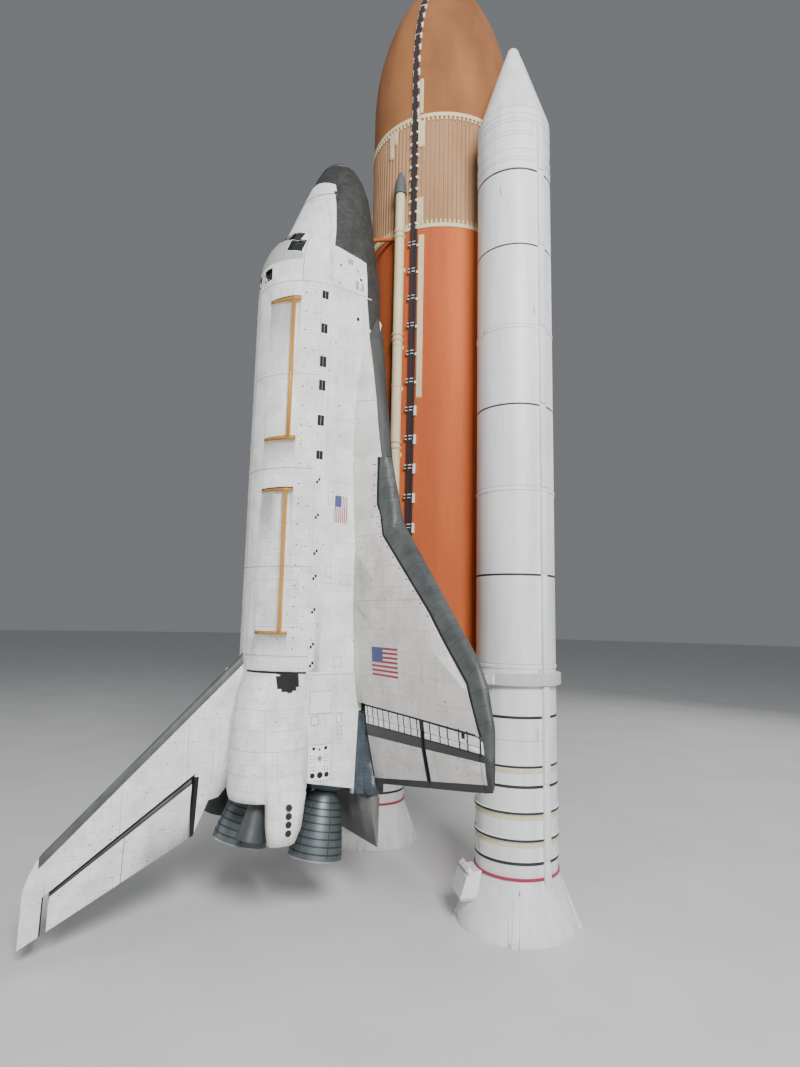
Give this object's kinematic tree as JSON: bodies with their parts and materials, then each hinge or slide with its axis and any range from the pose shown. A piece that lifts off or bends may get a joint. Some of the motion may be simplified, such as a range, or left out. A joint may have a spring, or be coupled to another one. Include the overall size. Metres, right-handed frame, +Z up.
{
  "type": "space shuttle, half-size scale model",
  "caption": "Winged space orbiter on an orange propellant tank with two white boosters, standing nose up; bay doors, hatch, control surfaces and engines move.",
  "frame": {"origin": "on the floor under the middle of the stack's bounding box, between the tank's axis and the orbiter", "axes": "+Z up through the noses; +X to the orbiter's right wing; the orbiter's back and fin point to -Y and the tank lies to +Y"},
  "size_m": [11.8948, 11.7208, 27.3195],
  "materials": {
    "black_tile": "matte",
    "booster_white": "satin",
    "carbon_grey": "satin",
    "cream_paint": "matte",
    "nozzle_steel": "satin",
    "orange_foam": "matte",
    "steel": "satin",
    "tan_foam": "matte",
    "white_tile": "matte",
    "window_glass": "gloss"
  },
  "bodies": {
    "stack": {"tank_nose_cap": "cream_paint", "oxygen_tank": "orange_foam", "intertank": "tan_foam", "hydrogen_tank": "orange_foam", "oxygen_feedline": "cream_paint", "pressure_line_tray": "cream_paint", "forward_bipod": "orange_foam", "rear_attach_frame": "cream_paint", "hydrogen_feed_elbow": "cream_paint", "booster_right_nose_cone": "booster_white", "booster_right_forward_skirt": "booster_white", "booster_right_motor_case": "booster_white", "booster_right_attach_ring": "booster_white", "booster_right_systems_tunnel": "booster_white", "booster_right_aft_skirt": "booster_white", "booster_left_nose_cone": "booster_white", "booster_left_forward_skirt": "booster_white", "booster_left_motor_case": "booster_white", "booster_left_attach_ring": "booster_white", "booster_left_systems_tunnel": "booster_white", "booster_left_aft_skirt": "booster_white", "nose_cap": "carbon_grey", "forward_fuselage_lower": "black_tile", "forward_fuselage_upper": "white_tile", "forward_thruster_module": "white_tile", "windshield": "window_glass", "overhead_windows": "window_glass", "bay_forward_bulkhead": "white_tile", "aft_deck_windows": "window_glass", "flight_deck": "steel", "mid_fuselage": "white_tile", "fin": "white_tile", "wing_right": "white_tile", "wing_left": "white_tile", "wing_edge_right": "carbon_grey", "wing_edge_left": "carbon_grey", "aft_fuselage": "white_tile", "manoeuvring_pod_right": "white_tile", "manoeuvring_pod_left": "white_tile", "manoeuvring_nozzle_right": "nozzle_steel", "manoeuvring_nozzle_left": "nozzle_steel"},
    "hatch": {"crew_hatch": "white_tile"},
    "rudder": {"rudder_hinge_seal": "steel"},
    "flap": {"body_flap": "black_tile"},
    "bay_door_right": {"bay_door_right": "white_tile"},
    "bay_door_left": {"bay_door_left": "white_tile"},
    "elevon_right_inner": {"elevon_right_inner": "white_tile"},
    "elevon_right_outer": {"elevon_right_outer": "white_tile"},
    "elevon_left_inner": {"elevon_left_inner": "white_tile"},
    "elevon_left_outer": {"elevon_left_outer": "white_tile"},
    "speed_brake_right": {"speed_brake_right": "white_tile"},
    "speed_brake_left": {"speed_brake_left": "white_tile"},
    "engine_top": {"main_engine_top": "nozzle_steel"},
    "engine_right": {"main_engine_right": "nozzle_steel"},
    "engine_left": {"main_engine_left": "nozzle_steel"},
    "nozzle_right": {"booster_right_nozzle": "black_tile"},
    "nozzle_left": {"booster_left_nozzle": "black_tile"}
  },
  "joints": [
    {"name": "bay_door_right_hinge", "type": "hinge", "parent": "stack", "child": "bay_door_right", "pos_m": [1.30302, -0.77534, 10.04113], "axis": [0, 0, 1], "range_deg": [0, 175.5]},
    {"name": "bay_door_left_hinge", "type": "hinge", "parent": "stack", "child": "bay_door_left", "pos_m": [-1.30302, -0.77534, 10.04113], "axis": [0, 0, -1], "range_deg": [0, 175.5]},
    {"name": "crew_hatch_hinge", "type": "hinge", "parent": "stack", "child": "hatch", "pos_m": [-1.29921, 0.33083, 15.81963], "axis": [0, 0, -1], "range_deg": [0, 90]},
    {"name": "elevon_right_inner_hinge", "type": "hinge", "parent": "stack", "child": "elevon_right_inner", "pos_m": [2.83528, 0.73209, 4.38963], "axis": [-0.9989, 0.0472, 0], "range_deg": [-20, 35]},
    {"name": "elevon_right_outer_hinge", "type": "hinge", "parent": "stack", "child": "elevon_right_outer", "pos_m": [4.84822, 0.63411, 4.38963], "axis": [-0.9987, 0.0505, 0], "range_deg": [-20, 35]},
    {"name": "elevon_left_inner_hinge", "type": "hinge", "parent": "stack", "child": "elevon_left_inner", "pos_m": [-2.83528, 0.73209, 4.38963], "axis": [-0.9989, -0.0472, 0], "range_deg": [-20, 35]},
    {"name": "elevon_left_outer_hinge", "type": "hinge", "parent": "stack", "child": "elevon_left_outer", "pos_m": [-4.84822, 0.63411, 4.38963], "axis": [-0.9987, -0.0505, 0], "range_deg": [-20, 35]},
    {"name": "rudder_hinge", "type": "hinge", "parent": "stack", "child": "rudder", "pos_m": [0, -4.11797, 2.11353], "axis": [0, -0.8208, -0.5712], "range_deg": [-27.1, 27.1]},
    {"name": "speed_brake_right_hinge", "type": "hinge", "parent": "rudder", "child": "speed_brake_right", "pos_m": [0, -4.11797, 2.11353], "axis": [0, -0.8208, -0.5712], "range_deg": [0, 49.3]},
    {"name": "speed_brake_left_hinge", "type": "hinge", "parent": "rudder", "child": "speed_brake_left", "pos_m": [0, -4.11797, 2.11353], "axis": [0, 0.8208, 0.5712], "range_deg": [0, 49.3]},
    {"name": "body_flap_hinge", "type": "hinge", "parent": "stack", "child": "flap", "pos_m": [0, 0.89217, 2.54813], "axis": [-1, 0, 0], "range_deg": [-22.5, 11.7]},
    {"name": "main_engine_top_pitch", "type": "hinge", "parent": "stack", "child": "engine_top", "pos_m": [0, -1.08903, 3.65303], "axis": [-1, 0, 0], "range_deg": [-10.5, 10.5]},
    {"name": "main_engine_right_pitch", "type": "hinge", "parent": "stack", "child": "engine_right", "pos_m": [0.6731, 0.18605, 3.35839], "axis": [-1, 0, 0], "range_deg": [-10.5, 10.5]},
    {"name": "main_engine_left_pitch", "type": "hinge", "parent": "stack", "child": "engine_left", "pos_m": [-0.6731, 0.18605, 3.35839], "axis": [-1, 0, 0], "range_deg": [-10.5, 10.5]},
    {"name": "booster_right_nozzle_pitch", "type": "hinge", "parent": "stack", "child": "nozzle_right", "pos_m": [3.18135, 3.73062, 1.03643], "axis": [-1, 0, 0], "range_deg": [-8, 8]},
    {"name": "booster_left_nozzle_pitch", "type": "hinge", "parent": "stack", "child": "nozzle_left", "pos_m": [-3.18135, 3.73062, 1.03643], "axis": [-1, 0, 0], "range_deg": [-8, 8]}
  ],
  "couplings": [
    {"joint": "main_engine_right_pitch", "follows": "main_engine_top_pitch", "ratio": 1},
    {"joint": "main_engine_left_pitch", "follows": "main_engine_top_pitch", "ratio": 1},
    {"joint": "speed_brake_left_hinge", "follows": "speed_brake_right_hinge", "ratio": 1}
  ]
}
